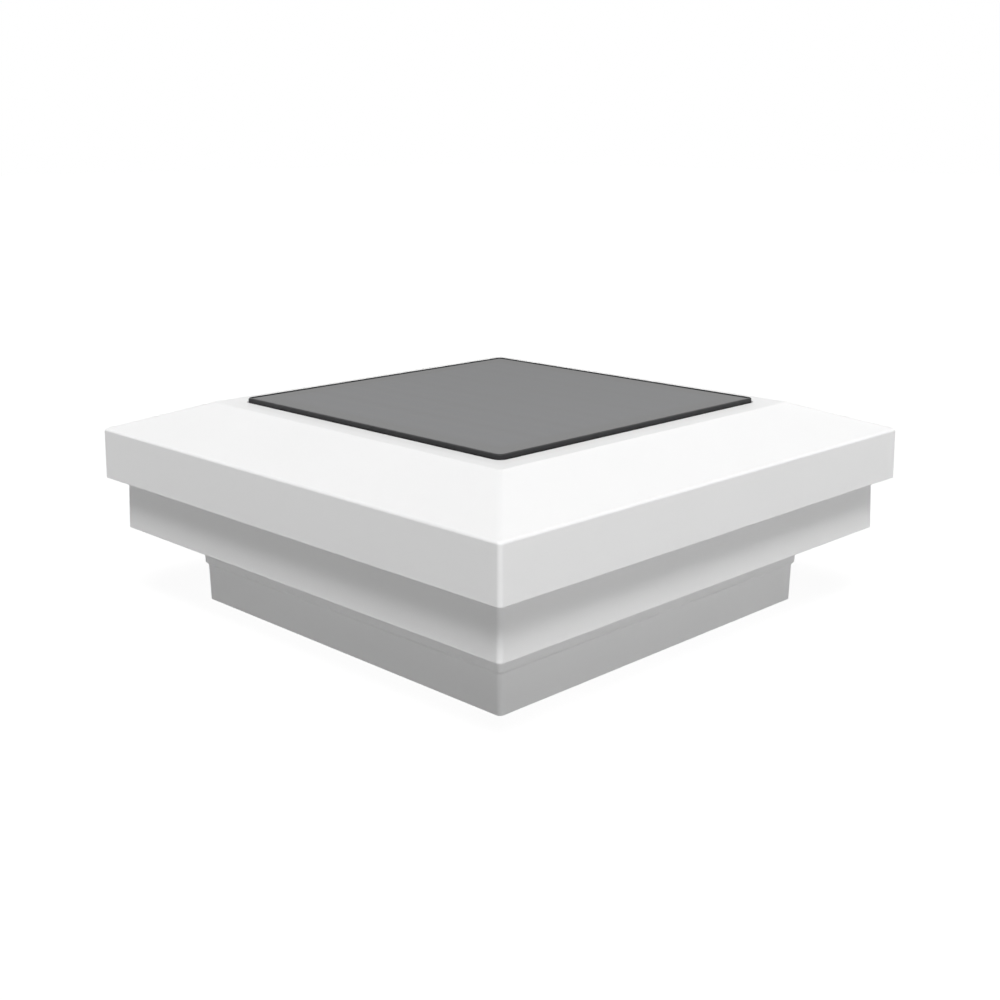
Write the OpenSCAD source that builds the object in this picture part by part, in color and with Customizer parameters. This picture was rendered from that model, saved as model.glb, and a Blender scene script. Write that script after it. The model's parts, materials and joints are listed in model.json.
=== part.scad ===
// Deck post cap light.
// A square solar light that drops over the top of a post sleeve. Three white mouldings are
// stacked and screwed together: a sloped cap with a dark solar window, a light housing that
// shines down the post, and a base collar that holds the cell, the board and the switch.
// Millimetres, +Z up. The origin is the centre of the collar's lower edge.

/* [Base collar] */
// Width of the square post sleeve that the collar drops over
post_w = 127; // [115:0.5:139]
// Clearance between the sleeve and each wall of the socket
post_gap = 0.95; // [0.8:0.05:1.2]
// Wall of the collar
collar_wall = 2.5; // [2:0.1:2.8]
// Draft of the collar's outer faces in degrees, wider towards the top
collar_draft = 0.95; // [0:0.05:1.2]
// Radius of the collar's upright corners
collar_corner = 1.4; // [1:0.1:3]
// Height of the middle of the step round the collar
step_z = 12.3; // [8:0.1:18]
// Height that the step takes
step_h = 1.3; // [0.6:0.1:2]
// How far the collar stands out above the step
step_out = 0.7; // [0.3:0.1:1]
// Depth of the socket from the collar's lower edge to the post stop
socket_depth = 28; // [27:0.5:29]
// Thickness of the post stop plate
plate_t = 2.5; // [2:0.1:3]
// How far a centring rib stands in from the socket wall
fit_rib_h = 0.8; // [0.4:0.1:1]
// Width of a centring rib
fit_rib_w = 2; // [1:0.5:4]
// Distance between the two centring ribs of one side
fit_rib_pitch = 80; // [60:5:110]

/* [Light housing] */
// Width of the trough between the collar and the housing's skirt, at its mouth
trough_w = 14.4; // [13:0.1:18]
// Height of the housing's lower edge above the collar's lower edge
housing_z = 24.4; // [23:0.1:25]
// Height of the light housing
housing_h = 18.6; // [18:0.1:20]
// Wall of the housing's skirt
housing_wall = 2.2; // [1.8:0.1:2.4]
// Draft of the housing's skirt in degrees, wider towards the bottom
housing_draft = 2; // [0.5:0.1:2.5]
// Radius of the housing's upright corners
housing_corner = 1.5; // [1.2:0.1:3]
// Thickness of the deck that the cap rests on
deck_t = 2.2; // [1.8:0.1:2.6]
// Distance from the collar's inner face to the deck's square opening
deck_ledge = 14.2; // [13.5:0.1:18]
// Height of the lip round the deck opening
deck_lip_h = 2.5; // [1:0.5:3]
// Thickness of the lip round the deck opening
deck_lip_t = 1.8; // [1.2:0.1:2.2]
// Number of gussets along each side of the skirt
gusset_count = 5; // [3:1:7]
// Thickness of the diffuser
diffuser_t = 2; // [1.5:0.1:2.5]
// How far the diffuser sits above the housing's lower edge
diffuser_recess = 1.5; // [1.4:0.1:2]
// Clearance round the diffuser
diffuser_gap = 0.35; // [0.25:0.05:0.6]
// Height of the diffuser's upturned lips
lip_h = 3.5; // [2:0.5:5]
// Thickness of the diffuser's upturned lips
lip_t = 1.5; // [1:0.1:1.8]

/* [Cap] */
// How far the cap's lower edge stands out past the housing's
cap_overhang = 4.35; // [3.5:0.05:8]
// How far the cap's skirt reaches down over the housing
cap_lap = 2.2; // [1:0.1:5]
// Height of the cap's skirt
cap_skirt_h = 15.8; // [14:0.1:18]
// Draft of the cap's skirt in degrees, wider towards the bottom
cap_draft = 1.1; // [0:0.1:2]
// Rise of the sloped roof from the skirt to the flat rim
roof_rise = 8.65; // [8:0.05:11]
// Distance that the roof slopes over, in plan
roof_run = 24.9; // [23:0.1:28]
// Width of the flat rim beside the window pocket
rim_margin = 6.8; // [6:0.1:8]
// Wall of the cap
cap_wall = 2.5; // [2:0.1:3]
// Radius of the cap's upright corners
cap_corner = 1.25; // [0.8:0.05:3]
// Radius of the edge between the skirt and the roof
eave_r = 1; // [0.5:0.1:2]
// Radius of the edge between the roof and the rim
rim_r = 0.9; // [0.4:0.1:1.5]
// Radius of the mouldings' lower edges
hem_r = 0.2; // [0.1:0.1:0.6]
// Thickness of the ribs under the roof
rib_t = 1.6; // [1.2:0.1:2]
// Number of ribs under each side of the roof, an even number that keeps the middle free
roof_rib_count = 4; // [2:2:6]
// Distance from the housing deck's edge to the cap seal
seal_inset = 3; // [2:0.1:4]
// Width of the cap seal
seal_w = 2; // [1.5:0.1:2.5]
// Thickness of the cap seal
seal_t = 1.6; // [1:0.1:2.5]

/* [Solar window] */
// Thickness of the window slab
window_t = 3.2; // [2.8:0.1:3.6]
// How far the slab stands above the rim
window_proud = 1.35; // [0.8:0.05:1.8]
// Plan radius of the slab's corners
window_corner = 2.2; // [1.5:0.1:5]
// Radius of the slab's top edge
window_edge_r = 0.6; // [0.3:0.1:1]
// Gap round the slab in its pocket
window_gap = 0.5; // [0.3:0.05:0.8]
// Width of the seat that the slab rests on
seat_w = 4.5; // [4:0.1:5]
// Thickness of the seat
seat_t = 2; // [1.6:0.1:2.4]
// Wall round the window pocket
pocket_wall = 2.4; // [2:0.1:3]
// Thickness of the gasket under the slab
gasket_t = 0.6; // [0.5:0.05:1]
// Width of the gasket under the slab
gasket_w = 3; // [2:0.1:3.4]
// Thickness of the clear sheet under the slab
encapsulant_t = 0.3; // [0.2:0.05:0.5]
// Thickness of the tinned ribbons
ribbon_t = 0.15; // [0.1:0.05:0.2]
// Width of the tinned ribbons
ribbon_w = 1.6; // [1:0.1:2.5]
// Thickness of a solar cell
cell_strip_t = 0.3; // [0.2:0.05:0.4]
// Thickness of the board behind the cells
backing_t = 1.6; // [1:0.1:2]
// Gap between the board and the seat
backing_gap = 0.5; // [0.3:0.05:0.8]
// Bare margin round the cells
cell_margin = 3; // [2:0.5:6]
// Rows of solar cells
cell_rows = 6; // [3:1:8]
// Columns of solar cells
cell_cols = 2; // [1:1:4]
// Gap between neighbouring solar cells
cell_space = 1.2; // [0.6:0.1:2]

/* [Lamps] */
// Width of a lamp strip
strip_w = 8; // [6:0.5:8.5]
// Thickness of a lamp strip
strip_t = 1.2; // [0.8:0.1:1.6]
// Distance from a strip's end to the diffuser boss beside it
strip_end_gap = 10; // [8:0.5:14]
// Lamp chips on each strip
chip_count = 6; // [2:1:8]
// Distance from a strip's end to its last lamp chip's middle
chip_margin = 11.3; // [8:0.1:16]
// Length of a lamp chip
chip_l = 3.5; // [2.8:0.1:5]
// Width of a lamp chip
chip_w = 2.8; // [2:0.1:5]
// Height of a lamp chip
chip_h = 0.8; // [0.5:0.1:1.2]
// Diameter of the pins that locate a strip
strip_pin_d = 2; // [1.5:0.1:2.5]

/* [Battery bay] */
// Diameter of the rechargeable cell
cell_d = 18.2; // [17.8:0.1:18.6]
// Length of the rechargeable cell with its button
cell_l = 65; // [64:0.5:66]
// Clearance round the cell in its bay
cell_gap = 0.6; // [0.4:0.1:1]
// Thickness of the cell's plastic sleeve
sleeve_t = 0.3; // [0.2:0.05:0.5]
// Length of the contact spring between its plate and the cell
spring_l = 6; // [5:0.5:8]
// Wire diameter of the contact spring
spring_wire = 0.9; // [0.6:0.1:1]
// Turns of the contact spring
spring_turns = 3.5; // [2.5:0.5:3.5]
// Thickness of the contact plates
contact_t = 0.5; // [0.3:0.1:0.8]
// Width of the contact plates
contact_w = 10; // [8:0.5:14]
// Wall of the battery bay
bay_wall = 2; // [1.6:0.1:2.4]
// Distance from the bay's middle to the part's middle plane
bay_offset = 20; // [19:0.5:23]
// Thickness of the battery door
door_t = 2; // [1.6:0.1:2.4]
// How far the door's flange reaches past the bay
door_flange = 3.5; // [3:0.1:4.5]
// Clearance round and above the closed door
door_gap = 0.3; // [0.2:0.05:0.5]
// Thickness of the door gasket
door_gasket_t = 1; // [0.6:0.1:1.2]
// Height of the cell above the door's inner face
cell_lift = 1.8; // [1.5:0.1:2.5]
// How far a screw ear's centre stands out from the door
ear_out = 5.5; // [5:0.5:6]
// Radius of a screw ear
ear_r = 4.2; // [4:0.1:4.6]

/* [Control board] */
// Length of the control board
board_l = 48; // [46:1:56]
// Width of the control board
board_w = 28; // [27:1:32]
// Thickness of the control board
board_t = 1.6; // [1:0.1:2]
// Distance from the board's middle to the part's middle plane
board_offset = 22; // [20:0.5:26]
// Height of the standoffs under the board
standoff_h = 4; // [3.8:0.1:5]
// Travel of the switch slider
switch_travel = 3; // [2:0.5:4]
// Distance of the switch from the board's middle
switch_x = 8; // [4:1:12]
// Length of the slider's thumb pad
thumb_l = 6; // [4:0.5:8]
// Width of the slider's thumb pad
thumb_w = 5; // [4:0.5:7]
// Clearance round the sliding piece
slide_gap = 0.3; // [0.2:0.05:0.4]
// Diameter of the leads
lead_d = 1.4; // [1:0.1:1.8]

/* [Screws] */
// Shank diameter of the housing screws
screw_d = 2.9; // [2.5:0.1:3.2]
// Head diameter of the housing screws
screw_head_d = 5.6; // [5:0.1:6]
// Head height of the housing screws
screw_head_h = 2; // [1.5:0.1:2.2]
// Length of the screws that hold the cap
cap_screw_l = 12; // [8:1:16]
// Distance from the collar's inner face to a cap screw's middle
cap_screw_inset = 7.7; // [7:0.1:8.5]
// Length of the screws that hold the base
base_screw_l = 10; // [8:0.5:11]
// Distance from the collar's inner face to a base screw's middle
base_screw_inset = 8.7; // [8:0.1:9.4]
// Length of the diffuser screws
diffuser_screw_l = 9; // [6:1:11]
// Head height of the diffuser screws
diffuser_head_h = 1.3; // [1:0.1:1.4]
// Shank diameter of the door and board screws
small_screw_d = 2.2; // [2:0.1:2.5]
// Head diameter of the door and board screws
small_head_d = 4.2; // [3.8:0.1:4.6]
// Head height of the door and board screws
small_head_h = 1.5; // [1.2:0.1:1.6]
// Length of the door screws
door_screw_l = 7; // [6:0.5:8]
// Length of the board screws
board_screw_l = 6; // [4:0.5:7]
// Clearance of a screw in the bore that it bites into
thread_gap = 0.05; // [0.02:0.01:0.1]
// Clearance of a screw in the hole that it passes through
hole_gap = 0.25; // [0.15:0.05:0.4]
// Wall of a screw boss
boss_wall = 2.4; // [2:0.1:2.8]

/* [Hidden] */
$fn = 48;

white = [0.93, 0.93, 0.92];
tin = [0.78, 0.79, 0.8];
steel = [0.7, 0.71, 0.73];
copper = [0.78, 0.45, 0.25];
board_green = [0.08, 0.33, 0.2];
black = [0.07, 0.07, 0.08];
red = [0.75, 0.1, 0.08];

over = 1;                       // how far a cut runs past the face that it opens
corner_steps = 6;               // flats round an upright corner of a moulding
socket_corner = 1;              // radius of the socket's upright corners

// Heights, from the collar's lower edge up
stop_z = socket_depth;
plate_top = stop_z + plate_t;
housing_top = housing_z + housing_h;
deck_z = housing_top - deck_t;
cap_z = housing_top - cap_lap;
eave_z = cap_z + cap_skirt_h;
rim_z = eave_z + roof_rise;
slab_top = rim_z + window_proud;
slab_z = slab_top - window_t;
seat_top = slab_z - gasket_t;
seat_z = seat_top - seat_t;
encapsulant_z = slab_z - encapsulant_t;
ribbon_z = encapsulant_z - ribbon_t;
cell_strip_z = ribbon_z - cell_strip_t;
backing_z = cell_strip_z - backing_t;

// Half widths of the square tiers at a height
socket_half = post_w / 2 + post_gap;
function collar_at(z) = socket_half + collar_wall + z * tan(collar_draft);
function tube_at(z) = collar_at(z) + step_out;
housing_half = tube_at(housing_z) + trough_w + housing_wall;
function housing_at(z) = housing_half - (z - housing_z) * tan(housing_draft);
function trough_at(z) = housing_at(z) - housing_wall;
cap_half = housing_half + cap_overhang;
function skirt_at(z) = cap_half - (z - cap_z) * tan(cap_draft);
tube_in = tube_at(plate_top) - collar_wall;
deck_open_half = tube_in - deck_ledge;
rim_half = skirt_at(eave_z) - roof_run;
pocket_half = rim_half - rim_margin;
window_half = pocket_half - window_gap;
opening_half = pocket_half - seat_w;
backing_half = opening_half - backing_gap;

// The roof's outline: [half width, height] of its two corners and the normals of its faces
roof_normal = 90 - atan(roof_rise / roof_run);
eave = [skirt_at(eave_z), eave_z];
rim = [rim_half, rim_z];

// Screw bosses
boss_r = screw_d / 2 + boss_wall;
pilot_r = screw_d / 2 + thread_gap;
passage_r = screw_d / 2 + hole_gap;
small_pilot_r = small_screw_d / 2 + thread_gap;
small_passage_r = small_screw_d / 2 + hole_gap;
head_gap = 0.3;                 // clearance round a sunk head
tip_room = 1;                   // depth of a bore past the screw's tip
pad_h = 2;                      // height of the pads that the base bosses stand on
base_sink = screw_head_h + 0.2; // depth of the sunk heads under the post stop
pad_top = plate_top + pad_h;
cap_screw_at = tube_in - cap_screw_inset;
base_screw_at = tube_in - base_screw_inset;

// Trough, lamp strips and diffuser
strip_c = (tube_at(deck_z) + trough_at(deck_z)) / 2;
strip_half = strip_c - boss_r - strip_end_gap;
strip_z = deck_z - strip_t;
chip_pitch = 2 * (strip_half - chip_margin) / (chip_count - 1);
strip_pin_at = (chip_count / 2 - 1) * chip_pitch;
diffuser_z = housing_z + diffuser_recess;
diffuser_top = diffuser_z + diffuser_t;
lip_top = diffuser_top + lip_h;
diffuser_out = trough_at(lip_top) - diffuser_gap;
diffuser_in = tube_at(lip_top) + diffuser_gap;
gusset_gap = 0.4;               // clearance between a gusset and the lamp strip
gusset_reach = trough_at(deck_z) - strip_c - strip_w / 2 - gusset_gap;
gusset_drop = deck_z - lip_top - gusset_gap;    // how far a gusset runs down the skirt
gusset_t = 1.6;
seal_out = housing_at(housing_top) - seal_inset;

// Battery bay, in the frame of its own centre line along X
bay_l = cell_l + spring_l + 2 * contact_t;
bay_w = cell_d + 2 * cell_gap;
door_top = stop_z + door_t;
door_l = bay_l + 2 * door_flange;
door_w = bay_w + 2 * door_flange;
door_corner = 2.5;
ear_x = door_l / 2 + ear_out;
ear_t = door_t + door_gasket_t;
bay_seat_z = stop_z + ear_t + door_gap;
bay_seat_t = 2;
foot_wall = 2.2;
door_sink = small_head_h + 0.2;
cell_axis_z = door_top + cell_lift + cell_d / 2;
bay_top = cell_axis_z + cell_d / 2 + cell_gap;
bay_roof = bay_top + bay_wall;
tab_h = 2.8;                    // height of a contact's tab above the bay
tab_z = bay_roof + tab_h;
spring_x = -bay_l / 2 + contact_t;
cell_back = spring_x + spring_l;
cell_front = bay_l / 2 - contact_t;
button_l = 1.5;
button_r = 3.1;
door_boss_h = door_screw_l + tip_room;
door_boss_r = small_screw_d / 2 + boss_wall;

// Control board and switch
board_z = plate_top + standoff_h;
board_top = board_z + board_t;
screw_inset = 3;                // distance of a board screw from the board's edges
standoff_r = small_screw_d / 2 + 1.6;
case_t = 0.7;                   // wall of the switch body
thumb_t = 1.1;
thumb_inset = 0.2;              // depth of the thumb pad under the post stop
thumb_z = stop_z + thumb_inset;
stem_l = 2;
stem_w = 1.8;
foot_l = 4.4;
foot_w = 3.6;
foot_t = 1.2;
switch_lift = 0.5;              // gap between the switch and the post stop plate
switch_h = standoff_h - switch_lift;
switch_z = board_z - switch_h;
slider_foot_z = switch_z + case_t + slide_gap;
case_in_l = foot_l + switch_travel + 2 * slide_gap;
case_in_w = foot_w + 2 * slide_gap;
slot_l = stem_l + switch_travel + 2 * slide_gap;
slot_w = stem_w + 2 * slide_gap;
window_depth = thumb_inset + thumb_t + slide_gap;
pin_d = 0.8;
pin_pitch = 2.5;

// Parts on the board: places from the board's middle
header_l = 7.4;
header_w = 5.8;
header_h = 6;
header_t = 0.7;
header_pitch = 11;
header_y = board_w / 2 - header_w / 2 - 3;
plug_gap = 0.2;
plug_h = 7.5;
plug_top = board_top + plug_h;
wire_pitch = 2.5;               // distance between the two leads of a plug
chip_at = [15 - board_l / 2, -2];
inductor_at = [-1, -4];
capacitor_at = [board_l / 2 - 10, -4];
capacitor_r = 3.15;
resistor_y = -board_w / 2 + 2.5;

// Leads
lead_sides = 8;
lead_steps = 3;                 // rings between two points of a route
jumper_d = 1.2;
stub = [0, 0, 3];               // straight length of a lead at each of its ends
terminal = [4, 3, 1.2];
terminal_at = [-11, 20];
terminal_pitch = 6;
terminal_z = backing_z - terminal[2];

// Points of the rounded edge at corner p between faces whose normals lean at angles a and b
function heading(a) = [cos(a), sin(a)];
function rounded(p, a, b, r, n) =
    let (c = p - r * (heading(a) + heading(b)) / (1 + cos(b - a)))
    [for (i = [0:n]) c + r * heading(a + (b - a) * i / n)];
// A corner moved inwards by a wall
function inset(p, a, b, wall) = p - wall * (heading(a) + heading(b)) / (1 + cos(b - a));
// Levels [height, half width] from outline points [half width, height]
function levels(outline) = [for (p = outline) [p[1], p[0]]];

function ring(half, r, z) = [
    for (quarter = [0:3], i = [0:corner_steps])
        let (a = 90 * (quarter + i / corner_steps), m = 45 + 90 * quarter)
        [sign(cos(m)) * (half - r) + r * cos(a), sign(sin(m)) * (half - r) + r * sin(a), z]
];

// A solid through square rings with round corners, from the lowest level to the highest
module loft(outline, r) {
    flats = 4 * (corner_steps + 1);
    last = len(outline) - 1;
    polyhedron(
        points = [for (level = levels(outline)) each ring(level[1], r, level[0])],
        faces = concat(
            [[for (i = [0:flats - 1]) i]],
            [for (k = [0:last - 1], i = [0:flats - 1])
                let (j = (i + 1) % flats)
                [k * flats + i, (k + 1) * flats + i, (k + 1) * flats + j, k * flats + j]],
            [[for (i = [flats - 1:-1:0]) last * flats + i]]
        )
    );
}

module round_plan(l, w, r) {
    square([l - 2 * r, w], center = true);
    square([l, w - 2 * r], center = true);
    for (x = [-1, 1], y = [-1, 1])
        translate([x * (l / 2 - r), y * (w / 2 - r)])
            circle(r);
}

module slab(l, w, r, z, h) {
    translate([0, 0, z])
        linear_extrude(h)
            round_plan(l, w, r);
}

// A square frame between two half widths
module frame(inner, outer, r_in, r_out, z, h) {
    translate([0, 0, z])
        linear_extrude(h)
            difference() {
                round_plan(2 * outer, 2 * outer, r_out);
                round_plan(2 * inner, 2 * inner, r_in);
            }
}

module block(l, w, z, h) {
    translate([-l / 2, -w / 2, z])
        cube([l, w, h]);
}

// A screw whose head bears on z = 0 from below, with its shank upwards
module screw(l, d, head_d, head_h) {
    tip = d * 0.6;
    slot = 0.16 * head_d;
    depth = 0.5 * head_h;
    difference() {
        union() {
            translate([0, 0, -0.6 * head_h])
                cylinder(h = 0.6 * head_h, d = head_d);
            translate([0, 0, -head_h])
                cylinder(h = 0.4 * head_h, d1 = 0.72 * head_d, d2 = head_d);
            cylinder(h = l - tip, d = d);
            translate([0, 0, l - tip])
                cylinder(h = tip, d1 = d, d2 = 0.3 * d);
        }
        for (turn = [0, 90])
            rotate([0, 0, turn])
                block(0.56 * head_d, slot, -head_h - over, depth + over);
    }
}

module at_corners(x, y) {
    for (i = [-1, 1], j = [-1, 1])
        translate([i * x, j * y, 0])
            children();
}

module at_sides(x) {
    for (turn = [0:90:270])
        rotate([0, 0, turn])
            translate([x, 0, 0])
                children();
}

// A smooth route through points, and the tube that follows it
function spline(p, a, b, c, t) =
    0.5 * (2 * a + (b - p) * t + (2 * p - 5 * a + 4 * b - c) * t * t
        + (3 * a - p - 3 * b + c) * t * t * t);
function smooth(points, steps) =
    let (last = len(points) - 1)
    [for (i = [0:last - 1], k = [0:steps - 1])
        let (
            before = i == 0 ? 2 * points[0] - points[1] : points[i - 1],
            after = i == last - 1 ? 2 * points[last] - points[last - 1] : points[i + 2]
        )
        spline(before, points[i], points[i + 1], after, k / steps),
     points[last]];
function unit(v) = v / norm(v);
function carry(tangents, n, i = 0) = i == len(tangents) ? [] :
    let (m = unit(n - tangents[i] * (n * tangents[i])))
    concat([m], carry(tangents, m, i + 1));

module tube(path, d, sides, start_normal, start, end) {
    last = len(path) - 1;
    tangents = [for (i = [0:last])
        i == 0 ? unit(start) : i == last ? unit(end) : unit(path[i + 1] - path[i - 1])];
    normals = carry(tangents, start_normal);
    polyhedron(
        points = [for (i = [0:last], k = [0:sides - 1])
            path[i] + d / 2 * (normals[i] * cos(360 * k / sides)
                + cross(tangents[i], normals[i]) * sin(360 * k / sides))],
        faces = concat(
            [[for (k = [0:sides - 1]) k]],
            [for (i = [0:last - 1], k = [0:sides - 1])
                let (j = (k + 1) % sides)
                each [[i * sides + k, (i + 1) * sides + k, (i + 1) * sides + j],
                      [i * sides + k, (i + 1) * sides + j, i * sides + j]]],
            [[for (k = [sides - 1:-1:0]) last * sides + k]]
        )
    );
}

// A wire along a route, square to what it meets at both ends
module wire(route, d) {
    last = len(route) - 1;
    tube(smooth(route, lead_steps), d, lead_sides, [1, 0, 0],
        route[1] - route[0], route[last] - route[last - 1]);
}

// ---- Cap ----

module cap_outer() {
    loft(concat(
        rounded([cap_half, cap_z], -90, cap_draft, hem_r, 2),
        rounded(eave, cap_draft, roof_normal, eave_r, 5),
        rounded(rim, roof_normal, 90, rim_r, 2)
    ), cap_corner);
}

module cap_cavity() {
    difference() {
        loft([
            [skirt_at(cap_z - over) - cap_wall, cap_z - over],
            inset(eave, cap_draft, roof_normal, cap_wall),
            inset(rim, roof_normal, 90, cap_wall)
        ], cap_corner);
        slab(2 * (pocket_half + pocket_wall), 2 * (pocket_half + pocket_wall), window_corner,
            seat_z, rim_z - seat_z);
    }
}

module cap_inside_ribs() {
    reach = skirt_at(cap_z) - cap_wall / 2;
    root = pocket_half + pocket_wall / 2;
    rib_drop = 7;
    rib_pitch = 2 * opening_half / roof_rib_count;
    frame(seal_out - seal_w, seal_out, cap_corner, cap_corner, housing_top + seal_t,
        rim_z - housing_top - seal_t);
    at_corners(cap_screw_at, cap_screw_at)
        translate([0, 0, housing_top])
            cylinder(h = rim_z - housing_top, r = boss_r);
    at_sides(0)
        for (i = [0:roof_rib_count - 1])
            translate([0, (i - (roof_rib_count - 1) / 2) * rib_pitch + rib_t / 2, 0])
                rotate([90, 0, 0])
                    linear_extrude(rib_t)
                        polygon([
                            [root, seat_z + seat_t / 2], [seal_out, eave_z - rib_drop],
                            [reach, eave_z - rib_drop], [reach, rim_z], [root, rim_z]
                        ]);
}

module top_cap() {
    color(white)
        difference() {
            union() {
                difference() {
                    cap_outer();
                    cap_cavity();
                }
                intersection() {
                    cap_outer();
                    cap_inside_ribs();
                }
            }
            slab(2 * pocket_half, 2 * pocket_half, window_corner + window_gap, seat_top,
                rim_z - seat_top + over);
            slab(2 * opening_half, 2 * opening_half, window_corner, seat_z - over,
                seat_t + 2 * over);
            at_corners(cap_screw_at, cap_screw_at)
                translate([0, 0, deck_z])
                    cylinder(h = cap_screw_l + tip_room, r = pilot_r);
        }
}

module cap_seal() {
    color(black)
        frame(seal_out - seal_w, seal_out, cap_corner, cap_corner, housing_top, seal_t);
}

module cap_screws() {
    color(steel)
        at_corners(cap_screw_at, cap_screw_at)
            translate([0, 0, deck_z])
                screw(cap_screw_l, screw_d, screw_head_d, screw_head_h);
}

// ---- Solar window ----

module panel_window() {
    color([0.2, 0.2, 0.21])
        loft(concat(
            [[window_half, slab_z]],
            rounded([window_half, slab_top], 0, 90, window_edge_r, 4)
        ), window_corner);
}

module window_gasket() {
    edge = window_half - window_gap;
    color(black)
        frame(edge - gasket_w, edge, window_corner, window_corner, seat_top, gasket_t);
}

module panel_encapsulant() {
    color([0.85, 0.88, 0.9])
        slab(2 * backing_half, 2 * backing_half, window_corner, encapsulant_z, encapsulant_t);
}

function field_pitch(count) = (2 * (backing_half - cell_margin) + cell_space) / count;

module solar_cells() {
    l = field_pitch(cell_cols) - cell_space;
    w = field_pitch(cell_rows) - cell_space;
    color([0.06, 0.08, 0.16])
        for (i = [0:cell_cols - 1], j = [0:cell_rows - 1])
            translate([(i - (cell_cols - 1) / 2) * field_pitch(cell_cols),
                (j - (cell_rows - 1) / 2) * field_pitch(cell_rows), 0])
                block(l, w, cell_strip_z, cell_strip_t);
}

module cell_ribbons() {
    run = 2 * (backing_half - cell_margin);
    color(tin)
        for (j = [0:cell_rows - 1], side = [-1, 1])
            translate([0, (j - (cell_rows - 1) / 2 + side / 4) * field_pitch(cell_rows), 0])
                block(run, ribbon_w, ribbon_z, ribbon_t);
}

module panel_backing() {
    color([0.12, 0.12, 0.13])
        slab(2 * backing_half, 2 * backing_half, window_corner, backing_z, backing_t);
}

module panel_terminals() {
    color(tin)
        for (side = [-1, 1])
            translate([terminal_at[0] + side * terminal_pitch / 2, terminal_at[1], 0])
                block(terminal[0], terminal[1], terminal_z, terminal[2]);
}

// ---- Light housing ----

module housing_shell() {
    difference() {
        loft(concat(
            rounded([housing_at(housing_z), housing_z], -90, housing_draft, hem_r, 2),
            rounded([housing_at(housing_top), housing_top], housing_draft, 90, hem_r, 2)
        ), housing_corner);
        loft([
            [trough_at(housing_z - over), housing_z - over],
            [trough_at(deck_z), deck_z]
        ], housing_corner);
    }
}

module housing_gussets() {
    pitch = 2 * strip_half / gusset_count;
    at_sides(0)
        for (i = [0:gusset_count - 1])
            translate([0, (i - (gusset_count - 1) / 2) * pitch + gusset_t / 2, 0])
                rotate([90, 0, 0])
                    linear_extrude(gusset_t)
                        polygon([
                            [trough_at(deck_z) - gusset_reach, deck_z + deck_t / 2],
                            [trough_at(deck_z) - gusset_reach, deck_z - gusset_reach],
                            [trough_at(deck_z - gusset_drop), deck_z - gusset_drop],
                            [trough_at(deck_z) + housing_wall / 2, deck_z - gusset_drop],
                            [trough_at(deck_z) + housing_wall / 2, deck_z + deck_t / 2]
                        ]);
}

module light_housing() {
    color(white)
        difference() {
            union() {
                housing_shell();
                housing_gussets();
                frame(deck_open_half, deck_open_half + deck_lip_t, deck_lip_t, 2 * deck_lip_t,
                    deck_z, deck_t + deck_lip_h);
                at_corners(strip_c, strip_c)
                    translate([0, 0, diffuser_top])
                        cylinder(h = housing_top - diffuser_top, r = boss_r);
                at_sides(base_screw_at)
                    translate([0, 0, pad_top])
                        cylinder(h = housing_top - pad_top, r = boss_r);
                at_sides(strip_c)
                    for (side = [-1, 1])
                        translate([0, side * strip_pin_at, strip_z - strip_t / 3])
                            cylinder(h = housing_top - strip_z, d = strip_pin_d);
            }
            slab(2 * deck_open_half, 2 * deck_open_half, deck_lip_t, deck_z - over,
                deck_t + deck_lip_h + 2 * over);
            at_corners(cap_screw_at, cap_screw_at)
                translate([0, 0, deck_z - over])
                    cylinder(h = deck_t + 2 * over, r = passage_r);
            at_corners(strip_c, strip_c)
                translate([0, 0, diffuser_z])
                    cylinder(h = diffuser_screw_l + tip_room, r = pilot_r);
            at_sides(base_screw_at)
                translate([0, 0, stop_z + base_sink])
                    cylinder(h = base_screw_l + tip_room, r = pilot_r);
            for (side = [-1, 1])
                translate([side * wire_pitch / 2, strip_c, deck_z - over])
                    cylinder(h = deck_t + 2 * over, d = lead_d + 2 * hole_gap);
        }
}

module diffuser() {
    color([0.9, 0.92, 0.93])
        difference() {
            union() {
                frame(diffuser_in, diffuser_out, collar_corner, housing_corner, diffuser_z,
                    diffuser_t);
                frame(diffuser_in, diffuser_in + lip_t, collar_corner, collar_corner + lip_t,
                    diffuser_z, diffuser_t + lip_h);
                frame(diffuser_out - lip_t, diffuser_out, housing_corner, housing_corner,
                    diffuser_z, diffuser_t + lip_h);
            }
            at_corners(strip_c, strip_c)
                translate([0, 0, diffuser_z - over])
                    cylinder(h = diffuser_t + 2 * over, r = passage_r);
        }
}

module diffuser_screws() {
    color(steel)
        at_corners(strip_c, strip_c)
            translate([0, 0, diffuser_z])
                screw(diffuser_screw_l, screw_d, screw_head_d, diffuser_head_h);
}

// Strip 0 lies along the front, and the others follow it round
module led_strip(turn) {
    color([0.95, 0.95, 0.93])
        rotate([0, 0, 90 * turn])
            translate([0, -strip_c, 0])
                difference() {
                    block(2 * strip_half, strip_w, strip_z, strip_t);
                    for (side = [-1, 1])
                        translate([side * strip_pin_at, 0, strip_z - over])
                            cylinder(h = strip_t + 2 * over, d = strip_pin_d + 2 * thread_gap);
                }
}

module led_strip_front() led_strip(0);
module led_strip_right() led_strip(1);
module led_strip_back() led_strip(2);
module led_strip_left() led_strip(3);

module led_chips() {
    lens_d = 0.8 * chip_w;
    lens_depth = 0.25 * chip_h;
    color([0.95, 0.85, 0.35])
        for (turn = [0:3], i = [0:chip_count - 1])
            rotate([0, 0, 90 * turn])
                translate([(i - (chip_count - 1) / 2) * chip_pitch, -strip_c, strip_z - chip_h])
                    difference() {
                        block(chip_l, chip_w, 0, chip_h);
                        translate([0, 0, -over])
                            cylinder(h = lens_depth + over, d = lens_d);
                    }
}

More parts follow.
